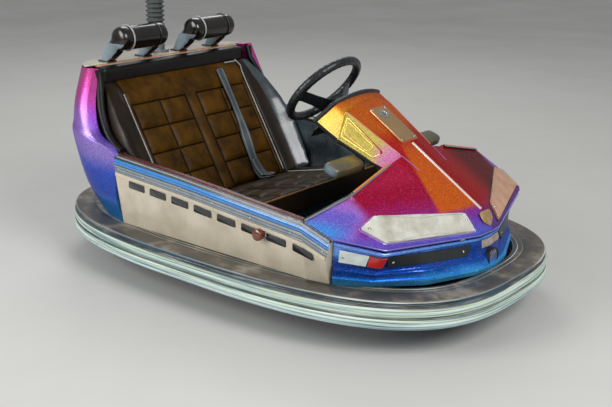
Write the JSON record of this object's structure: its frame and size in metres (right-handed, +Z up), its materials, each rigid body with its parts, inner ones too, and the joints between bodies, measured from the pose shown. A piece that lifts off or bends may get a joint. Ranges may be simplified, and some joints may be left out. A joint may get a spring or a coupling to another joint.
{
  "type": "fairground bumper car",
  "caption": "Electric bumper car with a faceted nose, bench seat, rubber bumper ring, ceiling pole, steered drive wheel and rear wheels that roll.",
  "frame": {"origin": "on the floor under the middle of the bumper's outline", "axes": "+X forward to the nose, +Y to the car's left, +Z up along the ceiling pole"},
  "size_m": [2, 1.24, 2.5],
  "materials": {
    "bumper_rubber": "matte, scuffed",
    "frame_steel": "satin",
    "tread_plate": "satin",
    "glitter_paint": "gloss metal flake",
    "blue_paint": "gloss metal flake",
    "black_vinyl": "satin",
    "black_plastic": "satin",
    "bright_plate": "satin",
    "chrome_trim": "polished",
    "badge_metal": "satin",
    "lamp_cover": "gloss",
    "red_cover": "gloss",
    "cream_paint": "gloss",
    "brown_vinyl": "satin",
    "belt_webbing": "woven",
    "steel_tube": "satin",
    "boot_rubber": "matte",
    "contact_brass": "satin",
    "motor_iron": "satin",
    "tyre_rubber": "matte"
  },
  "bodies": {
    "car": {"bumper": "bumper_rubber", "bumper_carrier": "frame_steel", "chassis_frame": "frame_steel", "floor_pan": "tread_plate", "bonnet": "glitter_paint", "dash_collar": "glitter_paint", "dash_panel": "black_plastic", "coin_plate": "bright_plate", "bonnet_strip": "chrome_trim", "nose_badge": "badge_metal", "headlamp_right": "lamp_cover", "headlamp_left": "lamp_cover", "nose_lower": "blue_paint", "marker_lamps": "red_cover", "nose_grilles": "black_plastic", "fog_lamp": "black_plastic", "sill_right": "cream_paint", "sill_left": "cream_paint", "rear_body": "glitter_paint", "rear_deck": "cream_paint", "rear_lamps": "red_cover", "seat_tub": "black_vinyl", "seat_base": "black_vinyl", "seat_cushion": "brown_vinyl", "seat_back": "brown_vinyl", "backrest_roll": "black_vinyl", "headrest_right": "black_vinyl", "headrest_left": "black_vinyl", "seat_belt": "belt_webbing", "knee_pads": "black_vinyl", "toe_board": "black_plastic", "steering_bridge": "frame_steel", "pedal": "tread_plate", "pole_base": "steel_tube", "pole_boot": "boot_rubber", "pole": "steel_tube", "pole_contact": "contact_brass", "rear_axle": "steel_tube"},
    "steering": {"steering_wheel": "black_vinyl", "steering_shaft": "steel_tube"},
    "drive_unit": {"drive_head": "frame_steel", "drive_motor": "motor_iron"},
    "front_wheel": {"drive_wheel": "tyre_rubber"},
    "rear_wheel_r": {"rear_wheel_right": "tyre_rubber"},
    "rear_wheel_l": {"rear_wheel_left": "tyre_rubber"}
  },
  "joints": [
    {"name": "drive_unit_steer", "type": "hinge", "parent": "car", "child": "drive_unit", "pos_m": [0.61, 0, 0.35], "axis": [0, 0, 1], "continuous": true},
    {"name": "steering_wheel_turn", "type": "hinge", "parent": "car", "child": "steering", "pos_m": [0.134, 0, 0.748], "axis": [-0.7547, 0, 0.6561], "continuous": true},
    {"name": "drive_wheel_spin", "type": "hinge", "parent": "drive_unit", "child": "front_wheel", "pos_m": [0.61, 0, 0.1], "axis": [0, 1, 0], "continuous": true},
    {"name": "rear_wheel_right_spin", "type": "hinge", "parent": "car", "child": "rear_wheel_r", "pos_m": [-0.56, -0.325, 0.08], "axis": [0, 1, 0], "continuous": true},
    {"name": "rear_wheel_left_spin", "type": "hinge", "parent": "car", "child": "rear_wheel_l", "pos_m": [-0.56, 0.325, 0.08], "axis": [0, 1, 0], "continuous": true}
  ],
  "couplings": [
    {"joint": "steering_wheel_turn", "follows": "drive_unit_steer", "ratio": 1}
  ]
}
